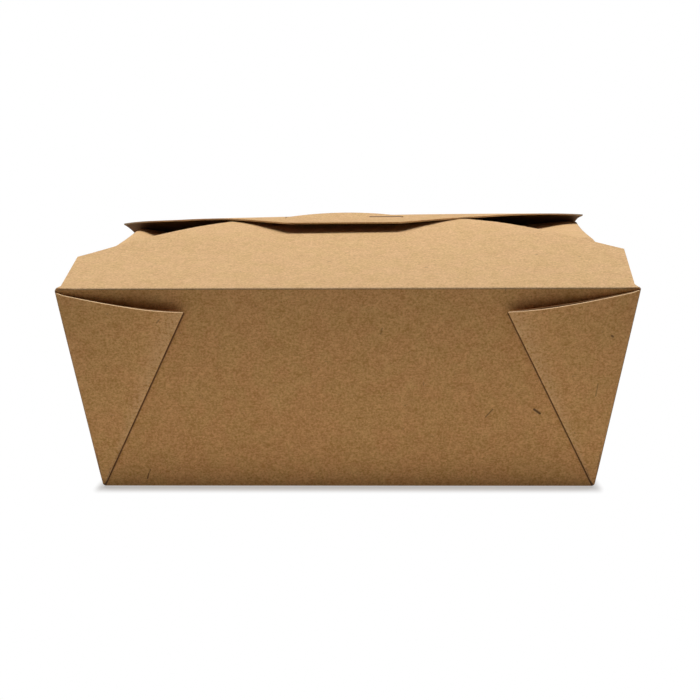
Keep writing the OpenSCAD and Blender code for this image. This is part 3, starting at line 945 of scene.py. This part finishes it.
# %% Ride and replace
for piece in (walls, base_panel, front_flap, left_flap, right_flap):
    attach(piece, "carton")
    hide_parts("carton")
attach(top_flap, "lid_flap")
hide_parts("lid_flap")
print("one piece rides on the lid_flap body, the others on the carton")

# %% [markdown]
# ## Who sees the background
# A white background could come from more light, but that would bleach the box. Here the floor and
# the world are plain white only for the rays that look at them: those from the camera, and those
# that reach them by way of a gloss or through something clear. To every other ray they are dimmer.

# %% Rays that look
WHITE, BLACK = (1, 1, 1, 1), (0, 0, 0, 1)


def looking(f):
    camera_ray, gloss_ray, clear_ray = [f.node("ShaderNodeLightPath", out="Is %s Ray" % kind)
                                        for kind in ("Camera", "Glossy", "Transmission")]
    return camera_ray.math("MAXIMUM", gloss_ray).math("MAXIMUM", clear_ray)


print("white is", WHITE)

# %% [markdown]
# ## The floor
# The box stands on a pale floor. In the picture the ground is plain white right up to a thin soft
# shadow under the leaning wall, so for the camera the floor is white except close to the base,
# where it shows how much light really reaches it. To the box it is a dimmer floor that gives back
# part of the lamp's light, with a faint glow for what a white table throws up at the walls. Both
# are strongest close in front of the box and fade further out.

# %% Floor
FLOOR_HALF, FLOOR_DROP = 3, 0.00005
floor_mesh = bpy.data.meshes.new("floor")
corners = [(-FLOOR_HALF, -FLOOR_HALF, 0), (FLOOR_HALF, -FLOOR_HALF, 0), (FLOOR_HALF, FLOOR_HALF, 0),
           (-FLOOR_HALF, FLOOR_HALF, 0)]
floor_mesh.from_pydata(corners, [], [(0, 1, 2, 3)])
floor = bpy.data.objects.new("floor", floor_mesh)
floor.location.z = -FLOOR_DROP
bpy.context.scene.collection.objects.link(floor)
floor_finish, f = new_material("floor")
place = f.node("ShaderNodeTexCoord", out="Object")
past = f.vector("SUBTRACT", f.vector("ABSOLUTE", place), (BASE_W / 2 * MM, BASE_D / 2 * MM, 0))
past = f.vector("MAXIMUM", past, (0, 0, 0))
away = f.vector("LENGTH", past, out=1)
beside = f.vector("LENGTH", f.vector("MULTIPLY", past, (3, 1, 1)), out=1)
in_front = 1 - f.part(place, 1).smooth_step(-0.075, -0.055)
print("the floor knows how far it is from the base")

# %% What the floor gives back, and what the camera sees of it
given_back = 0.12 + (1 - away.smooth_step(0.12, 0.3)) * (0.2 + in_front * 0.45)
plain = f.node("ShaderNodeBsdfDiffuse", {}, {"Color": f.mix(given_back, BLACK, WHITE)})
glow_share = ((1 - away.smooth_step(0.02, 0.2)) * (0.15 + in_front * 0.45)
              + (1 - away.smooth_step(0.002, 0.03)) * in_front * 0.4)
glow = f.node("ShaderNodeEmission", {}, {"Color": f.mix(glow_share, BLACK, WHITE), "Strength": 0.55})
to_box = f.node("ShaderNodeAddShader", {}, {0: plain, 1: glow})
white = f.node("ShaderNodeEmission", {}, {"Color": WHITE, "Strength": 1.0})
shaded = f.node("ShaderNodeBsdfDiffuse", {}, {"Color": (0.9, 0.9, 0.9, 1)})
soft = f.node("ShaderNodeMixShader", {}, {0: 0.55, 1: white, 2: shaded})
near = 1 - beside.smooth_step(0.001, 0.01)
to_camera = f.node("ShaderNodeMixShader", {}, {0: near, 1: white, 2: soft})
f.show(f.node("ShaderNodeMixShader", {}, {0: looking(f), 1: to_box, 2: to_camera}))
floor_mesh.materials.append(floor_finish)
print("floor staged")

# %% [markdown]
# ## World and lamp
# One broad lamp hangs over the box, a little behind it, as a soft box does over a product table.
# It lights the flaps fully and leaves the space under the top flap dark. The world adds hardly any
# light of its own.

# %% World and lamp
world = bpy.data.worlds.new("studio")
bpy.context.scene.world = world
world.use_nodes = True
world.node_tree.nodes.clear()
w = Nodes(world.node_tree)
dim = w.node("ShaderNodeBackground", {}, {"Color": WHITE, "Strength": 0.015})
bright = w.node("ShaderNodeBackground", {}, {"Color": WHITE, "Strength": 1.0})
w.show(w.node("ShaderNodeMixShader", {}, {0: looking(w), 1: dim, 2: bright}), "ShaderNodeOutputWorld")
lamp_data = bpy.data.lights.new("softbox", "AREA")
lamp_data.shape, lamp_data.size, lamp_data.size_y, lamp_data.energy = "RECTANGLE", 1.0, 0.45, 9.9
lamp = bpy.data.objects.new("softbox", lamp_data)
lamp.location = (0.02, 0.08, 0.95)
bpy.context.scene.collection.objects.link(lamp)
bpy.context.scene.view_settings.view_transform = "Standard"
print("one lamp of", round(lamp_data.energy, 1), "W")

# %% [markdown]
# ## The end
# The last step brings the scene up to date.

# %% Finish
bpy.context.view_layer.update()
